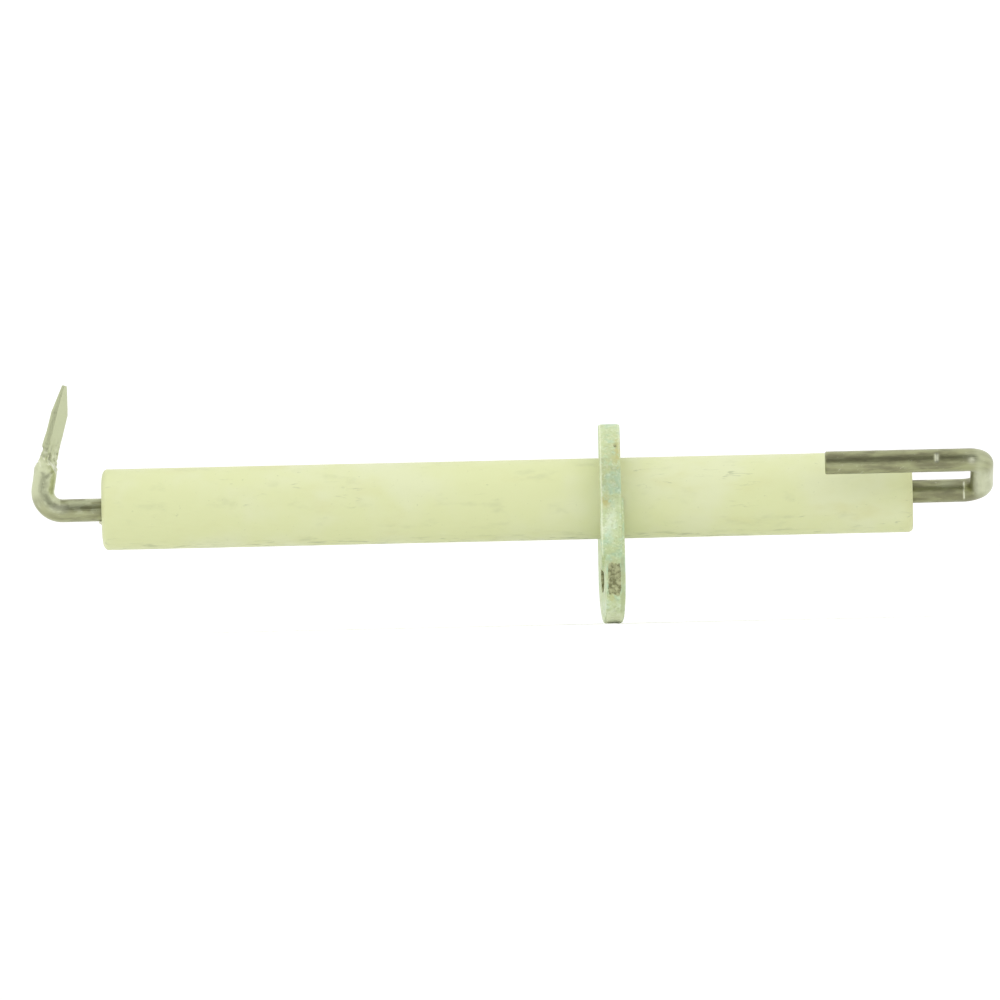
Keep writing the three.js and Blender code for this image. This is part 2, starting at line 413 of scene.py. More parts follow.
class Finish:
    """One material, whose nodes are added by short calls that each return a socket."""

    def __init__(self, name, metallic, specular=0.5):
        self.material = bpy.data.materials.new(name)
        self.material.use_nodes = True
        self.tree = self.material.node_tree
        self.shader = self.tree.nodes["Principled BSDF"]
        self.shader.inputs["Metallic"].default_value = metallic
        self.shader.inputs["Specular IOR Level"].default_value = specular

    def add(self, kind, output, inputs, **settings):
        node = self.tree.nodes.new(kind)
        for name, value in settings.items():
            setattr(node, name, value)
        for key, value in inputs.items():
            if isinstance(value, bpy.types.NodeSocket):
                self.tree.links.new(value, node.inputs[key])
            else:
                node.inputs[key].default_value = value
        return node.outputs[output]

    def place(self):
        return self.add("ShaderNodeTexCoord", "Object", {})

    def attribute(self, name, output="Fac"):
        return self.add("ShaderNodeAttribute", output, {}, attribute_name=name)

    def lumps(self, place, size, stretch=1, detail=4, roughness=0.55, distortion=0):
        """Cloudy values round a half, in lumps of that size. A stretch below 1 draws them
        out along X."""
        if stretch < 1:
            place = self.add("ShaderNodeVectorMath", 0, {0: place, 1: (stretch, 1, 1)},
                             operation="MULTIPLY")
        return self.add("ShaderNodeTexNoise", 0, {
            "Vector": place, "Scale": 1 / size, "Detail": detail,
            "Roughness": roughness, "Distortion": distortion})

    def cells(self, place, size):
        """A random grey for each crystal about `size` across."""
        colour = self.add("ShaderNodeTexVoronoi", "Color", {"Vector": place, "Scale": 1 / size})
        return self.add("ShaderNodeSeparateColor", 0, {0: colour})

    def rise(self, value, start, end, low=0.0, high=1.0):
        """Goes smoothly from `low` at `start` to `high` at `end`."""
        return self.add("ShaderNodeMapRange", 0, {
            0: value, 1: start, 2: end, 3: low, 4: high}, interpolation_type="SMOOTHSTEP")

    def maths(self, operation, first, second):
        return self.add("ShaderNodeMath", 0, {0: first, 1: second}, operation=operation)

    def times(self, first, second):
        return self.maths("MULTIPLY", first, second)

    def axis(self, place, name):
        return self.add("ShaderNodeSeparateXYZ", name, {0: place})

    def mix(self, amount, first, second):
        """Mixes two colours, whose sockets go by number because their names repeat."""
        return self.add("ShaderNodeMix", 2, {
            0: amount, 6: opaque(first), 7: opaque(second)}, data_type="RGBA")

    def coat(self, colour, *coats):
        """A colour with others laid over it in turn, each by its own amount."""
        for amount, over in coats:
            colour = self.mix(amount, colour, over)
        return colour

    def bump(self, height, distance, normal=None):
        inputs = {"Height": height, "Distance": distance}
        if normal:
            inputs["Normal"] = normal
        return self.add("ShaderNodeBump", 0, inputs)

    def use(self, **sockets):
        for name, socket in sockets.items():
            self.tree.links.new(socket, self.shader.inputs[name.replace("_", " ")])


def ceramic_finish(sizes):
    finish = Finish("fired_ceramic", metallic=0, specular=0.35)
    place = finish.place()
    slow = finish.lumps(place, 14 * MM, detail=3)
    patches = finish.lumps(place, 5 * MM, stretch=0.5, detail=5)
    smudges = finish.lumps(place, 3.0 * MM, stretch=0.45, detail=5)
    specks = finish.lumps(place, 0.55 * MM, detail=2)

    # The terminal end has been warm.
    warm_band = 2.6 * MM
    warm = finish.rise(finish.axis(place, "X"), sizes.rear_end - warm_band, sizes.rear_end,
                       high=0.40)

    # Rubbed streaks run along the tube in a few areas, and along its underside.
    streaks = finish.lumps(place, 0.8 * MM, stretch=0.22, detail=4, distortion=0.6)
    areas = finish.rise(finish.lumps(place, 9 * MM, detail=1), 0.50, 0.70)
    underside = finish.rise(finish.axis(place, "Z"), -5.4 * MM, -6.7 * MM)

    colour = finish.coat(
        sizes.body_colour,
        (finish.rise(slow, 0.42, 0.68), sizes.pale_colour),
        (finish.rise(patches, 0.52, 0.80, high=0.55), sizes.aged_colour),
        (finish.rise(smudges, 0.56, 0.78, high=0.22), sizes.scuff_colour),
        (warm, sizes.aged_colour),
        (finish.rise(specks, 0.68, 0.80, high=0.30), sizes.scuff_colour),
        (finish.times(finish.rise(streaks, 0.60, 0.74, high=0.55), areas), sizes.scuff_colour),
        (finish.times(underside, finish.rise(streaks, 0.52, 0.68, high=0.55)),
         sizes.scuff_colour))

    grain = finish.lumps(place, 0.18 * MM, detail=3)
    rough = finish.rise(finish.lumps(place, 2.4 * MM), 0.3, 0.7, low=0.42, high=0.60)
    wave = finish.bump(slow, 0.25 * MM)
    finish.use(Base_Color=colour, Roughness=rough,
               Normal=finish.bump(grain, 0.018 * MM, wave))
    return finish.material


def wire_finish(sizes):
    finish = Finish("drawn_steel", metallic=1)
    straight = finish.attribute("straightened", "Vector")
    blade = finish.attribute("pressed")
    place = finish.place()

    # Drawing lines and clouds of oxide follow the wire round its bends.
    lines = finish.lumps(straight, 0.16 * MM, stretch=0.035, detail=4)
    clouds = finish.lumps(straight, 1.3 * MM, stretch=0.30, detail=5, distortion=0.15)

    # Scratches run slantwise round the wire, in a few places.
    turned = finish.add("ShaderNodeVectorRotate", 0, {
        "Vector": straight, "Axis": (0.2, 0.3, 1), "Angle": 0.85})
    scratches = finish.lumps(turned, 0.32 * MM, stretch=0.05, detail=2)
    few = finish.rise(finish.lumps(place, 2.6 * MM, detail=1), 0.50, 0.62)

    colour = finish.coat(
        sizes.metal_colour,
        (finish.rise(clouds, 0.34, 0.70), sizes.oxide_and_shade_colour),
        (finish.rise(lines, 0.50, 0.72, high=0.28), sizes.burnished_colour),
        (finish.times(finish.rise(scratches, 0.62, 0.78, high=0.55), few), sizes.fresh_and_highlight_colour),
        (finish.times(blade, 0.55), sizes.burnished_colour),
        # Wear and painted highlights, held back where painted shade falls.
        (finish.attribute("rubbed_and_lit"), sizes.rubbed_and_lit_colour),
        # Oxide in the dents, and painted shade under the hook.
        (finish.times(finish.attribute("dark_skin_and_shade"), 0.75), sizes.oxide_and_shade_colour),
        # Bare metal in nicks and press marks, and a painted highlight on the front bend.
        (finish.attribute("fresh_and_highlight"), sizes.fresh_and_highlight_colour))

    # The pressed blade is duller than the drawn wire.
    drawn_rough = finish.rise(clouds, 0.3, 0.7, low=0.30, high=0.46)
    rough = finish.maths("MAXIMUM", drawn_rough, finish.times(blade, 0.60))
    grooves = finish.bump(lines, 0.03 * MM)
    pits = finish.lumps(place, 0.35 * MM, detail=4)
    finish.use(Base_Color=colour, Roughness=rough,
               Normal=finish.bump(pits, 0.035 * MM, grooves))
    return finish.material


def zinc_finish(sizes):
    finish = Finish("plated_steel", metallic=0.45)
    place = finish.place()

    # The film on the plating turns blue or olive, and a pale mottle is painted where the
    # painted sheen lies.
    clouds = finish.lumps(place, 2.2 * MM, detail=5)
    olive = finish.lumps(place, 1.3 * MM, detail=5, distortion=0.5)
    bloom = finish.rise(finish.lumps(place, 1.1 * MM, detail=5), 0.36, 0.60, high=0.42)
    crystals = finish.cells(place, 0.30 * MM)
    specks = finish.lumps(place, 0.9 * MM, detail=4)

    # Rust has a ragged border, and a lighter crust in places. The same tones paint shade in the
    # screw hole.
    crust = finish.lumps(place, 0.7 * MM, detail=4, roughness=0.65)
    rust_and_shade_tone = finish.mix(finish.rise(crust, 0.36, 0.64), sizes.rust_and_shade_colour,
                           sizes.crust_and_shade_colour)
    flakes = finish.lumps(place, 0.8 * MM, detail=4, roughness=0.65)
    ragged = finish.maths("ADD", finish.attribute("rust_and_hole_shade"), finish.times(flakes, 1.6))

    colour = finish.coat(
        sizes.zinc_colour,
        (finish.rise(clouds, 0.46, 0.68), sizes.blue_colour),
        (finish.rise(olive, 0.54, 0.74, high=0.75), sizes.olive_colour),
        # Painted sheen, and painted glints on single crystals.
        (finish.times(finish.attribute("sheen"), bloom), sizes.painted_glint_colour),
        (finish.rise(crystals, 0.72, 1.0, high=0.28), sizes.painted_glint_colour),
        (finish.rise(crystals, 0.25, 0.0, high=0.16), sizes.rust_and_shade_colour),
        (finish.rise(specks, 0.62, 0.78, high=0.45), sizes.rust_and_shade_colour),
        (finish.times(finish.attribute("burnished"), 0.75), sizes.burnished_colour),
        (finish.times(finish.attribute("stained"), finish.rise(specks, 0.34, 0.56)),
         sizes.stain_colour),
        (finish.rise(ragged, 1.20, 1.50), rust_and_shade_tone),
        # Painted highlights on the disc's corners and the tongue's end.
        (finish.attribute("edge_highlight"), sizes.edge_highlight_colour))

    rough = finish.rise(olive, 0.3, 0.7, low=0.40, high=0.62)
    facets = finish.bump(crystals, 0.02 * MM)
    finish.use(Base_Color=colour, Roughness=rough,
               Normal=finish.bump(clouds, 0.12 * MM, facets))
    return finish.material


def cement_finish(sizes):
    finish = Finish("dry_cement", metallic=0, specular=0.2)
    place = finish.place()
    clouds = finish.lumps(place, 0.9 * MM, detail=5)
    colour = finish.mix(finish.rise(clouds, 0.46, 0.72, high=0.7), sizes.body_colour,
                        sizes.dark_colour)
    grit = finish.lumps(place, 0.16 * MM, detail=4)
    rough = finish.rise(grit, 0.3, 0.7, low=0.78, high=0.95)
    finish.use(Base_Color=colour, Roughness=rough, Normal=finish.bump(grit, 0.08 * MM))
    return finish.material


# ---- tube


def drill_pockets(piece, sizes):
    """Sinks a cement pocket in each end and bores the tube through between them."""
    for end, inward in ((sizes.front_end, 1), (sizes.rear_end, -1)):
        pick(piece, "FACE", is_cap_at(end))
        inset_rings(2, sizes.dome_width)
        bpy.ops.mesh.inset(thickness=sizes.radius - sizes.dome_width - sizes.pocket_radius)
        sink = {"value": (inward * sizes.pocket_depth, 0, 0)}
        bpy.ops.mesh.extrude_region_move(TRANSFORM_OT_translate=sink)
        bpy.ops.mesh.inset(thickness=sizes.pocket_radius - sizes.bore_radius)
    pick(piece, "FACE", is_many_sided)
    bpy.ops.mesh.bridge_edge_loops()


def dome_front(piece, sizes):
    """Turns the round front edge into a wider, flatter dome."""
    points = points_of(piece)
    reach = np.hypot(points[:, 1], points[:, 2])
    inward = (reach - sizes.radius + sizes.dome_width) / sizes.dome_width
    drop = sizes.dome_depth * (1 - np.sqrt(1 - np.clip(inward, 0, 1) ** 2))
    on_edge = (points[:, 0] < sizes.front_end + sizes.dome_depth + TOUCH) & (inward > 0)
    points[:, 0] = np.where(on_edge, sizes.front_end + drop, points[:, 0])
    move_points(piece, points)


def wear_tube(piece, sizes, seed):
    """Gives the fired surface a slight wave, and its end edges a few small chips."""
    points = points_of(piece)
    outward = points * (0, 1, 1)
    reach = np.linalg.norm(outward, axis=1)
    outside = reach > sizes.radius - 0.3 * MM
    outward /= np.maximum(reach, TOUCH)[:, None]
    wave_depth = 0.02 * MM
    wave = roughness_at(points, 7 * MM) * wave_depth - wave_depth
    points += outward * (wave * outside)[:, None]

    draws = np.random.default_rng(seed)
    chip_inset = 0.3 * MM
    chip_steepness = 0.35
    for end, inward, chips in ((sizes.front_end, 1, 9), (sizes.rear_end, -1, 6)):
        for angle in draws.uniform(0, 2 * math.pi, chips):
            size = draws.uniform(0.25, 0.6) * MM
            place = Vector((end + inward * chip_inset, sizes.radius * math.cos(angle),
                            sizes.radius * math.sin(angle)))
            distance = np.linalg.norm(points - place, axis=1)
            depth = bell(distance, size) * chip_steepness * size
            points += outward * (-depth * outside)[:, None]
    move_points(piece, points)


def make_tube(sizes, seed):
    piece = rod_along_x("ceramic_tube", sizes.radius, sizes.front_end, sizes.rear_end,
                        TUBE_SIDES)
    edit(piece)
    drill_pockets(piece, sizes)
    round_rim(piece, sizes.front_end, sizes.radius, sizes.dome_depth, segments=8)
    round_rim(piece, sizes.rear_end, sizes.radius, sizes.rear_edge, segments=5)

    # The second round of cuts leaves rings about half a millimetre apart.
    for longer_than, cuts in ((100 * MM, 19), (5 * MM, 13)):
        on_outside = is_long_edge(longer_than, sizes.pocket_radius + MM, sizes.radius + MM)
        cut_lengthwise(piece, on_outside, cuts)
    leave_edit()
    dome_front(piece, sizes)
    wear_tube(piece, sizes, seed)
    finish_piece(piece, "ceramic_insulator", ceramic_finish(sizes))


# ---- wire


# The stretch of the path that runs through the tube, counted from 0 at the free end. It is
# cut coarsely, apart from these lengths next to the hook and the front bend.
RUN_THROUGH_TUBE = 4
FINE_AT_REAR = 10.35 * MM
FINE_AT_FRONT = 5.2 * MM

# Painted highlights on the hook's upper bend, over the scratches on the run near the hook and
# on the front bend; the spot with a negative strength is painted shade on the hook's outer
# edge.
LIGHT_AND_SHADE_SPOTS = (
    Spot(x=63.9, z=6.0, length=1.3, height=0.8, strength=0.45),
    Spot(x=66.9, z=4.0, length=0.9, height=1.1, strength=-0.30),
    Spot(x=60.0, z=1.0, length=1.8, height=0.7, strength=0.35),
    Spot(x=-93.4, z=0.4, length=1.6, height=0.8, strength=0.60),
)
# A painted highlight on the front bend, laid on in the bare-metal colour.
STUB_HIGHLIGHTS = (
    Spot(x=-93.2, z=0.6, length=1.4, height=0.6, strength=0.45),
)
# Darker spots: under the start of the hook's lower bend it is painted shade; the other two
# darken the run near the hook and the front bend.
DARK_SPOTS = (
    Spot(x=62.4, z=-1.4, length=2.6, height=1.0),
    Spot(x=56.0, z=-0.6, length=1.4, height=0.7),
    Spot(x=-97.3, z=1.6, length=0.9, height=1.1, strength=0.7),
)


class Stretch(NamedTuple):
    """One straight or bend of the wire. Only a bend has an axis, an angle and a centre."""
    start: float
    length: float
    at: Vector
    turn: Matrix
    bend: tuple | None


class WirePath:
    """The line that the straight wire is bent along: straights and bends, walked in order
    from the free end. `turn` carries the straight wire's own directions."""

    def __init__(self, start):
        self.at = Vector(start)
        self.turn = Matrix.Identity(3)
        self.length = 0
        self.stretches = []

    def add_stretch(self, length, bend=None):
        self.stretches.append(
            Stretch(self.length, length, self.at.copy(), self.turn.copy(), bend))
        self.length += length

    def straight(self, length):
        self.add_stretch(length)
        self.at = self.at + self.turn @ Vector((length, 0, 0))

    def bend(self, axis, radius, angle):
        centre = self.at + axis.cross(self.turn @ Vector((1, 0, 0))) * radius
        self.add_stretch(radius * angle, (axis.copy(), angle, centre))
        swing = Matrix.Rotation(angle, 3, axis)
        self.at = centre + swing @ (self.at - centre)
        self.turn = swing @ self.turn

    def carry(self, point):
        """Where a point of the straight wire comes to."""
        x, y, z = point
        found = self.stretches[0]
        for stretch in self.stretches:
            if stretch.start <= x:
                found = stretch
        if found.bend is None:
            return found.at + found.turn @ Vector((x - found.start, y, z))
        axis, angle, centre = found.bend
        swing = Matrix.Rotation(angle * (x - found.start) / found.length, 3, axis)
        return centre + swing @ (found.at + found.turn @ Vector((0, y, z)) - centre)


def wire_path(sizes):
    along = Vector((1, 0, 0))
    cross = Vector((0, math.sin(sizes.hook_tilt), -math.cos(sizes.hook_tilt)))
    hook_axis = along.cross(cross)
    upright_axis = Vector((0, 1, 0))
    start = cross * -sizes.hook_spread
    start.x = sizes.free_end

    path = WirePath(start)
    path.straight(sizes.cross_run - sizes.upper_bend - sizes.free_end)
    path.bend(hook_axis, sizes.upper_bend, math.pi / 2)
    path.straight(sizes.hook_spread - sizes.upper_bend - sizes.lower_bend)
    path.bend(hook_axis, sizes.lower_bend, math.pi / 2)
    path.straight(sizes.cross_run - sizes.lower_bend - sizes.upright - sizes.front_bend)
    path.bend(upright_axis, sizes.front_bend, math.pi / 2 + sizes.lean)
    path.straight(sizes.upright_length)
    path.bend(upright_axis, sizes.kink_radius, sizes.kink)
    path.straight(sizes.blade_length)
    return path


def press_blade(points, sizes, path):
    """Flattens the end of the straight wire. Returns how far each point was flattened, and
    how near it is to where the tool bit."""
    along = path.turn @ Vector((1, 0, 0))
    across = Matrix.Rotation(-sizes.blade_twist, 3, along) @ Vector((0, 1, 0))
    through = across.cross(along).normalized()
    back = path.turn.transposed()
    across = np.array(back @ across)
    through = np.array(back @ through)

    press_length = sizes.press_lead + sizes.blade_length
    reach = points[:, 0] - (path.length - press_length)
    pressed = ramp(reach, 0, sizes.press_ramp)
    chisel = np.maximum(0, reach - press_length + sizes.chisel_length)
    chisel /= sizes.chisel_length
    half = sizes.radius + (sizes.blade_thickness / 2 - sizes.radius) * pressed
    taper = chisel * (sizes.blade_thickness - sizes.chisel_edge)
    widening = 1 + (sizes.blade_width / (2 * sizes.radius) - 1) * pressed
    widening *= 1 + (sizes.tip_width / sizes.blade_width - 1) * np.minimum(chisel, 1)

    # The tool leaves lumps where it bites, and one face keeps a shallow raised step.
    bite_middle, bite_length = 2.6 * MM, 2.7 * MM
    lump_height = 0.20 * MM
    step_height = 0.14 * MM
    bite = bell(reach - bite_middle, bite_length)
    lumps = roughness_at(points, 0.8 * MM, 4) * bite * lump_height
    step = ramp(reach, 4.0 * MM, 4.3 * MM) - ramp(reach, 4.6 * MM, 7.5 * MM)
    wide = points @ across * widening
    deep = np.clip(points @ through, -half - lumps - step * step_height, half - taper + lumps)
    flat = np.outer(wide, across) + np.outer(deep, through)
    flat[:, 0] += points[:, 0]

    out_of_reach = -3 * MM
    points[:] = np.where((reach > out_of_reach)[:, None], flat, points)
    return pressed, bite


def nick_hook(points, normals):
    """Presses in the nicks that the bending tool left, and says where the metal is bared."""
    facing = ramp(-normals[:, 1], 0.25, 0.6)
    x, y, z = points.T

    # One goes over the top half of the free arm.
    arm_x, arm_width, arm_depth = 58.1 * MM, 0.32 * MM, 0.26 * MM
    arm_height = 5.25 * MM
    arm_nick = bell(x - arm_x, arm_width) * ramp(z, arm_height - 0.55 * MM, arm_height)
    arm_nick *= ramp(z, arm_height + 1.5 * MM, arm_height + 1.0 * MM) * facing

    # A thin one goes round the run that comes out of the tube.
    run_x, run_width, run_depth = 62.92 * MM, 0.13 * MM, 0.10 * MM
    run_nick = bell(x - run_x, run_width) * ramp(np.abs(z), 1.65 * MM, 1.35 * MM) * facing
    run_nick *= y > -4 * MM

    # A round one is where the upper bend starts.
    bend_x, bend_z, bend_width, bend_depth = 64.2 * MM, 5.2 * MM, 0.55 * MM, 0.20 * MM
    bend_nick = bell(np.hypot(x - bend_x, z - bend_z), bend_width) * facing
    bend_nick *= (z > 3 * MM) * 0.8

    depth = run_nick * run_depth + arm_nick * arm_depth + bend_nick * bend_depth
    points -= normals * depth[:, None]
    return np.clip(arm_nick + run_nick + bend_nick, 0, 1)


def cut_wire(piece, path, radius):
    """Rounds the wire's ends, and cuts it into rings that are close where it is seen."""
    run = path.stretches[RUN_THROUGH_TUBE]
    coarse_start = run.start + FINE_AT_REAR
    coarse_end = run.start + run.length - FINE_AT_FRONT
    edit(piece)
    for place in (coarse_start, coarse_end):
        bpy.ops.mesh.select_all(action="SELECT")
        bpy.ops.mesh.bisect(plane_co=(place, 0, 0), plane_no=(1, 0, 0))
    for end, rounding in ((0, 0.3 * MM), (path.length, 0.15 * MM)):
        round_rim(piece, end, radius, rounding, segments=3)

    def is_between(start, end, least):
        long_edge = is_long_edge(least, radius - 5 * TOUCH, radius + 5 * TOUCH)
        return lambda e: long_edge(e) and all(start - TOUCH < v.co.x < end + TOUCH
                                              for v in e.verts)

    for start, end, cuts in ((0, coarse_start, 17), (coarse_start, coarse_end, 1),
                             (coarse_end, path.length, 11)):
        cut_lengthwise(piece, is_between(start, end, 12 * MM), cuts)
        cut_lengthwise(piece, is_between(start, end, 1.5 * MM), cuts=15)
    for end in (0, path.length):
        pick(piece, "FACE", is_cap_at(end))
        inset_rings(4, 1.2 * MM)
        bpy.ops.mesh.poke()
    leave_edit()


def rub_wire(points, straight, sizes):
    """How far each place of the bent wire is painted lighter: by wear, by painted highlights,
    and less where painted shade falls.
    """
    x, _, z = points.T

    # The connector that is pushed over the hook rubs its cross run. This shows most in the
    # middle, as painted shade keeps it darker next to the upper arm and on its underside.
    rubbed_and_lit = ramp(x, sizes.cross_run - 1.9 * MM, sizes.cross_run - 0.4 * MM)
    rubbed_and_lit *= 0.50 + 0.18 * ramp(z, 3.9 * MM, 3.2 * MM)
    rubbed_and_lit *= 0.30 + 0.70 * ramp(z, -1.9 * MM, -0.5 * MM)

    # At the spark end the run is lightened in patches on its upper side, partly wear and partly
    # painted highlight, and the upright is worn bright all over.
    at_front = x < sizes.upright + 12 * MM
    on_upright = at_front & ((x < sizes.upright + 3 * MM) | (z > 3 * MM))
    patches = roughness_at(straight * (0.6, 1, 1), 1.3 * MM)
    upper_side = ramp(z, -1.0 * MM, 0.2 * MM)
    rubbed_and_lit += (0.10 + 0.55 * ramp(patches, -0.05, 0.30) * upper_side) * at_front
    rubbed_and_lit += ramp(z, -0.5 * MM, 3.5 * MM) * on_upright * 0.95
    # The listed spots add painted highlights and one painted shade.
    return rubbed_and_lit + spots_on(x, z, LIGHT_AND_SHADE_SPOTS)


def make_wire(sizes):
    path = wire_path(sizes)
    piece = rod_along_x("spark_wire", sizes.radius, 0, path.length, WIRE_SIDES)
    cut_wire(piece, path, sizes.radius)

    # The skin swells and sinks by about a fiftieth of a millimetre.
    points = points_of(piece)
    straight = points.copy()
    pressed, bite = press_blade(points, sizes, path)
    swell_height = 0.018 * MM
    skin_drop = 0.012 * MM
    swell = roughness_at(points, 1.6 * MM) * swell_height - skin_drop
    radial = points * (0, 1, 1)
    radial /= np.maximum(np.linalg.norm(radial, axis=1), TOUCH)[:, None]
    points += radial * swell[:, None]
    points = np.array([path.carry(p) for p in points])
    move_points(piece, points)

    normals = normals_of(piece)
    nicks = nick_hook(points, normals)
    dents = roughness_at(straight, 0.85 * MM, 2) * bite
    dent_depth = 0.18 * MM
    points += normals * (dents * dent_depth)[:, None]
    move_points(piece, points)

    x, _, z = points.T
    # The listed spot adds a painted highlight to the bare metal.
    fresh_and_highlight = nicks + ramp(dents, 0.15, 0.5) * 0.9 + spots_on(x, z, STUB_HIGHLIGHTS)
    # The listed spots add painted shade under the hook to the oxide in the dents.
    dark_skin_and_shade = ramp(-dents, 0.05, 0.45) * 0.9 + spots_on(x, z, DARK_SPOTS)
    rubbed_and_lit = rub_wire(points, straight, sizes)
    save_attribute(piece, "straightened", straight)
    for name, values in (("pressed", pressed), ("fresh_and_highlight", fresh_and_highlight), ("dark_skin_and_shade", dark_skin_and_shade),
                         ("rubbed_and_lit", rubbed_and_lit)):
        save_attribute(piece, name, np.clip(values, 0, 1))
    finish_piece(piece, "electrode_wire", wire_finish(sizes))


# ---- flange


# Stains on the rim nearest the viewer. The tongue's count x from its own middle.
DISC_STAIN = Spot(x=3.2, z=8.4, length=0.7, height=2.2, strength=0.6)
TONGUE_STAINS = (
    Spot(x=-0.6, z=-17.0, length=0.7, height=1.2, strength=0.6),
    Spot(x=-0.7, z=-11.4, length=0.7, height=0.8, strength=0.8),
)


def rolled_plate(name, radius, thickness, edge, sides):
    """A round plate in the middle of X, with the edges of its faces rolled over."""
    plate = rod_along_x(name, radius, -thickness / 2, thickness / 2, sides)
    edit(plate)
    for face in (-thickness / 2, thickness / 2):
        round_rim(plate, face, radius, edge, segments=3)
    return plate


def make_tongue(sizes):
    """A plate as wide as the tongue, its upper half pulled up into the disc."""
    tongue = rolled_plate("tongue", sizes.tongue_half, sizes.tongue_thickness, sizes.edge,
                          TONGUE_SIDES)
    bpy.ops.mesh.select_all(action="SELECT")
    bpy.ops.mesh.bisect(plane_co=(0, 0, 0), plane_no=(0, 0, 1), clear_outer=True,
                        use_fill=True)
    pick(tongue, "FACE", lambda face: face.normal.z > 0.9 and is_many_sided(face))
    bpy.ops.mesh.extrude_region_move(
        TRANSFORM_OT_translate={"value": (0, 0, sizes.hole_drop)})
    leave_edit()
    tongue.location = (0, 0, -sizes.hole_drop)
    settle(tongue)
    return tongue


def age_flange(piece, sizes):
    """Roughens the sheared rim, and says where the plating has rust, stains or a burnished
    strip, and where painted shade, sheen and highlights go.
    """
    points = points_of(piece)
    normals = normals_of(piece)
    middle = sizes.disc_thickness / 2
    x, y, z = points.T
    on_rim = ramp(np.abs(normals[:, 0]), 0.75, 0.35)
    on_tongue = ramp(z, -9.5 * MM, -10.5 * MM)
    through = (x - middle) * math.cos(sizes.tongue_twist) + y * math.sin(sizes.tongue_twist)

    # The punch tore the rim, apart from a smooth strip along the tongue's.
    torn = ramp(through, 0.95 * MM, 0.60 * MM) * on_tongue + (1 - on_tongue)
    torn *= on_rim * (np.hypot(y, z) > sizes.bore_radius + MM)
    tear_height, tear_drop = 0.06 * MM, 0.04 * MM
    skin_height = 0.012 * MM
    tears = roughness_at(points * (1, 1, 0.6), 0.8 * MM, 4) * tear_height - tear_drop
    skin = roughness_at(points, 1.1 * MM) * skin_height
    pit = Vector((2.9 * MM, -8.97 * MM, 9.2 * MM))
    pit_width, pit_depth = 0.55 * MM, 0.32 * MM
    sunk = bell(np.linalg.norm(points - pit, axis=1), pit_width) * pit_depth
    points += normals * (torn * tears + skin - sunk)[:, None]
    move_points(piece, points)

    # Rust sits in a patch on the tongue's rim and in the pit. The screw hole's wall is painted
    # in the rust colours as shade.
    near = ramp(-y, 3 * MM, 6 * MM)
    patch = ramp(z, -17.6 * MM, -15.9 * MM) * ramp(z, -10.0 * MM, -12.4 * MM)
    patch *= ramp(through, -2.0 * MM, -1.0 * MM) * ramp(through, 0.95 * MM, 0.65 * MM)
    hole_wall = ramp(np.hypot(y, z + sizes.hole_drop), sizes.hole_radius + 0.25 * MM,
                     sizes.hole_radius + 0.05 * MM)
    rust_and_hole_shade = patch * near * on_rim + 2.2 * sunk / MM + hole_wall

    # Orange stains lie round the rust, and a faint one along the disc's upper rim.
    stain = Vector((0.9 * MM, -12.75 * MM, -0.5 * MM))
    stained = bell(np.linalg.norm(points - stain, axis=1), 1.1 * MM)
    stained += DISC_STAIN.on(x, z) * near
    stained += spots_on(through, z, TONGUE_STAINS) * near
    stained += bell(z - 7.0 * MM, 3.2 * MM) * near * 0.40

    # A painted sheen lies low on the disc's rim and at the tongue's end.
    sheen = bell(z + 4.2 * MM, 2.4 * MM) * ramp(x, 3.2 * MM, 2.2 * MM) * near
    sheen += ramp(z, -17.2 * MM, -18.6 * MM)
    burnished = ramp(through, 0.75 * MM, 0.95 * MM) * on_tongue * on_rim

    # Painted highlights run along the disc's two corners and over the tongue's round end.
    edge_highlight = bell(x - 0.12 * MM, 0.22 * MM) * on_rim * (1 - on_tongue)
    edge_highlight += ramp(z, -19.0 * MM, -21.0 * MM) * on_rim * 0.8
    edge_highlight += bell(x - 3.60 * MM, 0.15 * MM) * ramp(z, 7 * MM, 8.5 * MM) * on_rim
    for name, values in (("rust_and_hole_shade", rust_and_hole_shade), ("stained", stained), ("sheen", sheen),
                         ("burnished", burnished), ("edge_highlight", edge_highlight)):
        save_attribute(piece, name, np.clip(values, 0, 1))


def make_flange(sizes):
    piece = rolled_plate("steel_flange", sizes.disc_radius, sizes.disc_thickness, sizes.edge,
                         DISC_SIDES)
    leave_edit()
    tongue = make_tongue(sizes)
    drill = 9 * MM
    hole = rod_along_x("hole", sizes.hole_radius, -drill, drill, SCREW_HOLE_SIDES)
    hole.location = (0, 0, -sizes.hole_drop)
    settle(hole)
    for tool in (tongue, hole):
        tool.rotation_euler = (0, 0, sizes.tongue_twist)
        settle(tool)
    combine(piece, tongue, "UNION")
    combine(piece, hole, "DIFFERENCE")
    bore = rod_along_x("bore", sizes.bore_radius, -drill, drill, DISC_SIDES)
    combine(piece, bore, "DIFFERENCE")
    piece.location = (sizes.disc_thickness / 2, 0, 0)
    settle(piece)
    apply_modifier(piece, "REMESH", mode="VOXEL", voxel_size=0.17 * MM)
    apply_modifier(piece, "SMOOTH", factor=0.5, iterations=3)
    age_flange(piece, sizes)
    finish_piece(piece, "mounting_flange", zinc_finish(sizes))


# ---- cement


def cement_ring(name, inner, outer, start, end, sides):
    """A ring of cement, cut fine enough to be roughened."""
    piece = rod_along_x(name, outer, start, end, sides)
    edit(piece)
    for face in (start, end):
        pick(piece, "FACE", is_cap_at(face))
        inset_rings(3, outer - inner)
    pick(piece, "FACE", is_many_sided)
    bpy.ops.mesh.bridge_edge_loops()
    bpy.ops.mesh.select_all(action="SELECT")
    bpy.ops.mesh.subdivide(number_cuts=1)
    leave_edit()
    return piece


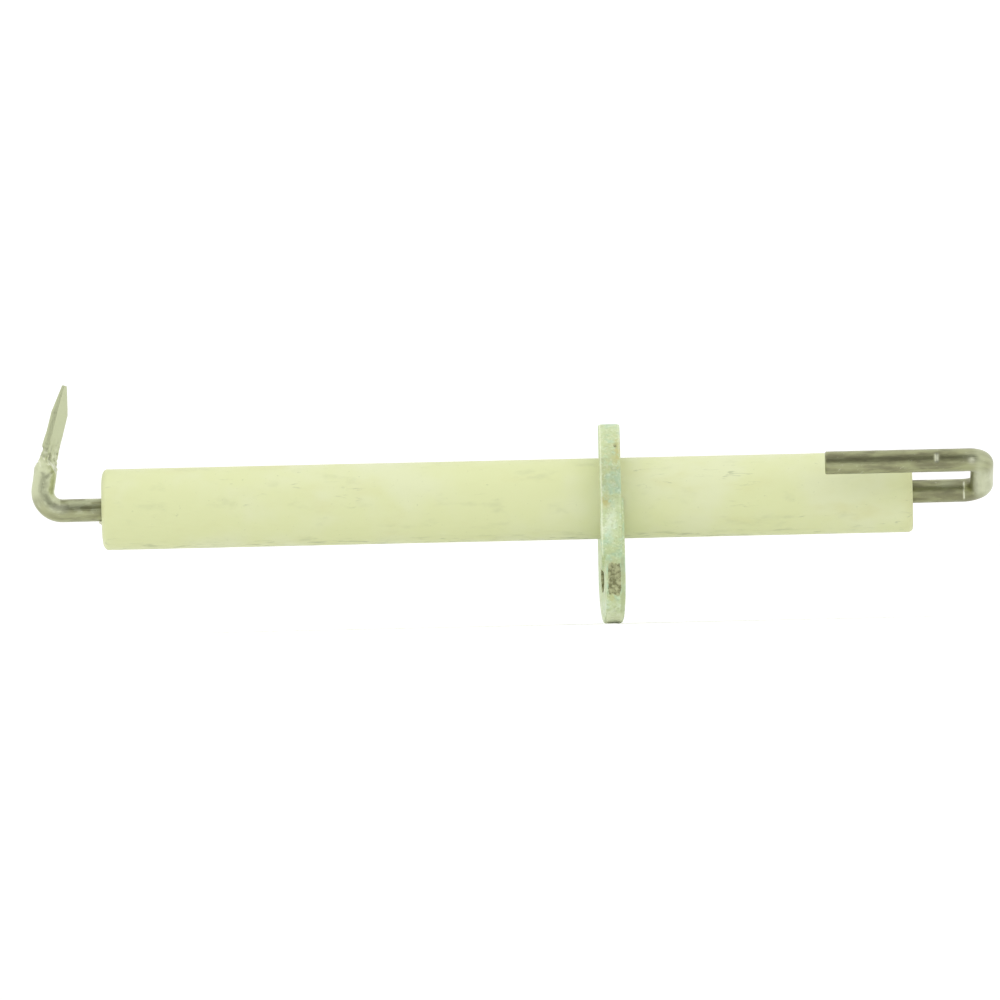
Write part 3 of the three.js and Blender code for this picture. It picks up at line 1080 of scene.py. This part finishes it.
def shape_plug(piece, outward, sizes, with_bead):
    """Sinks a ring in the outer face of a plug, roughens the face and adds the bead."""
    points = points_of(piece)
    x, y, z = points.T
    face = outward * x > (outward * x).max() - TOUCH
    hollow_radius, hollow_width, hollow_depth = 2.75 * MM, 0.45 * MM, 0.22 * MM
    grit_height = 0.05 * MM
    hollow = bell(np.hypot(y, z) - hollow_radius, hollow_width) * hollow_depth
    rise = roughness_at(points, 0.5 * MM) * grit_height - hollow
    if with_bead:
        bead_y, bead_z = -0.25 * MM, -2.20 * MM
        bead = bell(np.hypot(y - bead_y, z - bead_z), sizes.bead_width)
        rise += bead * (sizes.bead_height + sizes.setback)
    points[:, 0] += outward * rise * face
    move_points(piece, points)


def make_plug(name, node, end, outward, tube, wire, sizes, finish):
    deep = end - outward * (tube.pocket_depth - BOND_GAP)
    face = end - outward * sizes.setback
    piece = cement_ring(name, wire.radius + BOND_GAP, tube.pocket_radius - BOND_GAP,
                        min(deep, face), max(deep, face), PLUG_SIDES)
    shape_plug(piece, outward, sizes, with_bead=outward < 0)
    finish_piece(piece, node, finish)


def make_bond(tube, flange, finish):
    """The thin ring between the tube and the flange's bore."""
    piece = cement_ring("flange_bond", tube.radius + BOND_GAP, flange.bore_radius - BOND_GAP,
                        0, flange.disc_thickness, BOND_SIDES)
    points = points_of(piece)
    faces = (points[:, 0] < TOUCH) | (points[:, 0] > flange.disc_thickness - TOUCH)
    inward = np.sign(flange.disc_thickness / 2 - points[:, 0])
    mean_sink = 0.10 * MM
    sink = (roughness_at(points, 0.9 * MM) + 1) * mean_sink
    points[:, 0] += inward * sink * faces
    move_points(piece, points)
    finish_piece(piece, "flange_cement", finish)


# ---- stage


class Lamp(NamedTuple):
    """A rectangular light. Its place is counted from the middle of the view."""
    name: str
    place: tuple
    size: tuple
    power: float


LAMPS = (
    Lamp("overhead", place=(0, -0.35, 1.1), size=(1.6, 0.7), power=2.0),
    Lamp("fill", place=(-0.9, -1.0, 0.7), size=(0.8, 0.8), power=0.8),
)
WORLD_STRENGTH = 1.12
FLOOR_SIZE = 14


def matt(name, colour):
    """A plain matt stage material, with a little unevenness."""
    finish = Finish(name, metallic=0, specular=0)
    finish.shader.inputs["Roughness"].default_value = 0.9
    cloud = finish.lumps(finish.place(), 400 * MM, detail=2)
    darker = [0.97 * channel for channel in colour]
    finish.use(Base_Color=finish.mix(cloud, colour, darker))
    return finish.material


def add_light(lamp, middle):
    """Adds a light that is aimed at the middle of the view and isn't seen or mirrored."""
    area = bpy.data.lights.new(lamp.name, "AREA")
    area.shape = "RECTANGLE"
    area.size, area.size_y = lamp.size
    area.energy = lamp.power
    light = bpy.data.objects.new(lamp.name, area)
    light.location = middle + Vector(lamp.place)
    light.rotation_euler = (-Vector(lamp.place)).to_track_quat("-Z", "Y").to_euler()
    bpy.context.scene.collection.objects.link(light)
    light.visible_camera = False
    light.visible_glossy = False


def add_camera(settings):
    camera = bpy.data.cameras.new("camera")
    camera.sensor_width = 36
    camera.lens = camera.sensor_width * settings.distance / settings.view_width
    camera.clip_start = 0.01
    camera.clip_end = 50
    view = bpy.data.objects.new("camera", camera)
    level = Matrix.Rotation(math.pi / 2, 4, "X")
    rolled = level @ Matrix.Rotation(-settings.roll, 4, "Z")
    view.matrix_world = Matrix.Translation(
        (settings.aim_x, -settings.distance, settings.aim_z)) @ rolled
    bpy.context.scene.collection.objects.link(view)
    bpy.context.scene.camera = view


def make_stage(settings):
    floor_height = cad_box[0][2] - settings.floor_gap
    floor = start_piece("floor", bpy.ops.mesh.primitive_plane_add, size=FLOOR_SIZE,
                        location=(0, 0, floor_height))
    floor.data.materials.append(matt("white_board", settings.floor_colour))

    # The dark card gives the bright metal something to mirror. The camera doesn't see it.
    card = start_piece("card", bpy.ops.mesh.primitive_plane_add, size=1,
                       location=(settings.aim_x, -settings.card_reach, settings.card_middle),
                       rotation=(math.pi / 2, 0, 0),
                       scale=(settings.card_width, settings.card_height, 1))
    card.data.materials.append(matt("grey_card", settings.card_colour))
    card.visible_camera = False
    card.visible_diffuse = False
    card.visible_shadow = False

    world = bpy.data.worlds.new("studio")
    world.use_nodes = True
    background = world.node_tree.nodes["Background"]
    background.inputs["Color"].default_value = (1, 1, 1, 1)
    background.inputs["Strength"].default_value = WORLD_STRENGTH
    bpy.context.scene.world = world
    for lamp in LAMPS:
        add_light(lamp, Vector((settings.aim_x, 0, 0)))
    add_camera(settings)
    bpy.context.scene.view_settings.view_transform = "Standard"


# ---- operators and panel


class MakeTube(bpy.types.Operator):
    """Model the ceramic tube"""
    bl_idname = "electrode.make_tube"
    bl_label = "Ceramic tube"

    def execute(self, context):
        settings = context.scene.electrode
        make_tube(settings.tube, settings.stage.seed)
        return {"FINISHED"}


class MakeWire(bpy.types.Operator):
    """Model the spark wire, with its blade and its terminal hook"""
    bl_idname = "electrode.make_wire"
    bl_label = "Spark wire"

    def execute(self, context):
        make_wire(context.scene.electrode.wire)
        return {"FINISHED"}


class MakeFlange(bpy.types.Operator):
    """Model the mounting flange"""
    bl_idname = "electrode.make_flange"
    bl_label = "Flange"

    def execute(self, context):
        make_flange(context.scene.electrode.flange)
        return {"FINISHED"}


class MakeCement(bpy.types.Operator):
    """Model the two cement plugs and the ring that bonds the flange"""
    bl_idname = "electrode.make_cement"
    bl_label = "Cement"

    def execute(self, context):
        settings = context.scene.electrode
        finish = cement_finish(settings.cement)
        for name, node, end, outward in (
                ("front_plug", "front_cement", settings.tube.front_end, -1),
                ("rear_plug", "rear_cement", settings.tube.rear_end, 1)):
            make_plug(name, node, end, outward, settings.tube, settings.wire,
                      settings.cement, finish)
        make_bond(settings.tube, settings.flange, finish)
        return {"FINISHED"}


class MakeStage(bpy.types.Operator):
    """Set up the floor, the lights and the camera"""
    bl_idname = "electrode.make_stage"
    bl_label = "Stage"

    def execute(self, context):
        make_stage(context.scene.electrode.stage)
        return {"FINISHED"}


OPERATORS = (MakeTube, MakeWire, MakeFlange, MakeCement, MakeStage)


class ElectrodePanel(bpy.types.Panel):
    """Lists the electrode's pieces"""
    bl_idname = "VIEW3D_PT_electrode"
    bl_label = "Ignition electrode"
    bl_space_type = "VIEW_3D"
    bl_region_type = "UI"
    bl_category = "Electrode"

    def draw(self, context):
        for operator in OPERATORS:
            self.layout.operator(operator.bl_idname)


CLASSES = (TubeSizes, WireSizes, FlangeSizes, CementSizes, StageSettings, ElectrodeSettings,
           *OPERATORS, ElectrodePanel)


def register():
    for cls in CLASSES:
        bpy.utils.register_class(cls)
    bpy.types.Scene.electrode = PointerProperty(type=ElectrodeSettings)


def unregister():
    del bpy.types.Scene.electrode
    for cls in reversed(CLASSES):
        bpy.utils.unregister_class(cls)


def main():
    register()
    bpy.ops.electrode.make_tube()
    bpy.ops.electrode.make_wire()
    bpy.ops.electrode.make_flange()
    bpy.ops.electrode.make_cement()
    bpy.ops.electrode.make_stage()


if __name__ == "__main__":
    main()
